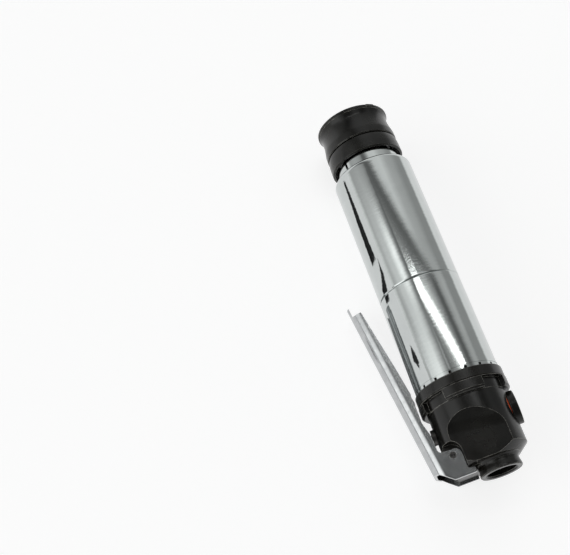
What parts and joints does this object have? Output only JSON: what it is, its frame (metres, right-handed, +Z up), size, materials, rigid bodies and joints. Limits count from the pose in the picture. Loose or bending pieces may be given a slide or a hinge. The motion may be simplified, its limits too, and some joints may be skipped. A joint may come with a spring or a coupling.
{
  "type": "air hammer",
  "caption": "Inline pneumatic chipping hammer: chrome barrel, quick-change hexagonal chisel socket, black valve housing with side lever throttle and threaded air inlet",
  "frame": {"origin": "centre of the mouth of the chisel socket at the nose, on the tool axis", "axes": "+X points out of the nose along the tool axis, +Z is up with the tool lying on a bench on its barrel, +Y is the side of the throttle lever, whose tip rests on the bench"},
  "size_m": [0.222, 0.0653, 0.0486],
  "materials": {
    "black_oxide": "black oxide over machined steel, satin, oiled",
    "chrome": "bright polished chrome plate",
    "steel": "ground hardened steel",
    "spring_steel": "drawn spring steel",
    "lever_plate": "pressed sheet steel, bright plated, faint drawing marks",
    "dark_pin": "blackened spring pin",
    "brass": "turned brass",
    "black_rubber": "nitrile rubber",
    "orange_rubber": "orange silicone rubber",
    "gasket": "fibre gasket sheet"
  },
  "bodies": {
    "tool": {"retainer_spring": "spring_steel", "snap_ring": "spring_steel", "chisel_bushing": "steel", "front_collar": "chrome", "buffer_ring": "black_rubber", "hammer_cylinder": "steel", "front_sleeve": "chrome", "rear_sleeve": "chrome", "centring_ring": "steel", "sleeve_orings": "black_rubber", "valve_case": "steel", "valve_cover": "steel", "valve_dowels": "steel", "case_gasket": "gasket", "exhaust_ring": "chrome", "lock_nut": "black_oxide", "valve_housing": "black_oxide", "inlet_strainer": "brass", "stem_guide": "dark_pin", "stem_oring": "black_rubber", "throttle_spring": "spring_steel", "valve_cap": "black_oxide", "cap_oring": "orange_rubber", "lever_pin": "dark_pin"},
    "retainer": {"retainer_cap": "black_oxide", "retainer_skirt": "black_oxide"},
    "ball_1": {"locking_ball_1": "steel"},
    "ball_2": {"locking_ball_2": "steel"},
    "piston": {"piston": "steel"},
    "spool": {"valve_spool": "brass"},
    "stem": {"throttle_stem": "steel"},
    "lever": {"throttle_lever": "lever_plate"}
  },
  "joints": [
    {"name": "retainer_slide", "type": "slide", "parent": "tool", "child": "retainer", "axis": [-1, 0, 0], "range_m": [0, 0.006], "stiffness_N_per_m": 1500, "springref_m": -0.006, "deforming": ["retainer_spring"]},
    {"name": "ball_1_release", "type": "slide", "parent": "tool", "child": "ball_1", "axis": [0, 0.9272, -0.3746], "range_m": [0, 0.0013]},
    {"name": "ball_2_release", "type": "slide", "parent": "tool", "child": "ball_2", "axis": [0, -0.9272, 0.3746], "range_m": [0, 0.0013]},
    {"name": "piston_stroke", "type": "slide", "parent": "tool", "child": "piston", "axis": [-1, 0, 0], "range_m": [0, 0.066]},
    {"name": "spool_shift", "type": "slide", "parent": "tool", "child": "spool", "axis": [-1, 0, 0], "range_m": [0, 0.002]},
    {"name": "lever_press", "type": "hinge", "parent": "tool", "child": "lever", "pos_m": [-0.2074, 0.01502, -0.00607], "axis": [0, -0.3746, -0.9272], "range_deg": [0, 3.5], "stiffness_Nm_per_rad": 0.3, "springref_deg": -57.3},
    {"name": "stem_push", "type": "slide", "parent": "tool", "child": "stem", "axis": [0, -0.9272, 0.3746], "range_m": [0, 0.0009], "deforming": ["throttle_spring"]}
  ],
  "couplings": [
    {"joint": "ball_1_release", "follows": "retainer_slide", "ratio": 0.2166},
    {"joint": "ball_2_release", "follows": "retainer_slide", "ratio": 0.2166},
    {"joint": "stem_push", "follows": "lever_press", "m_per_rad": 0.0142}
  ]
}
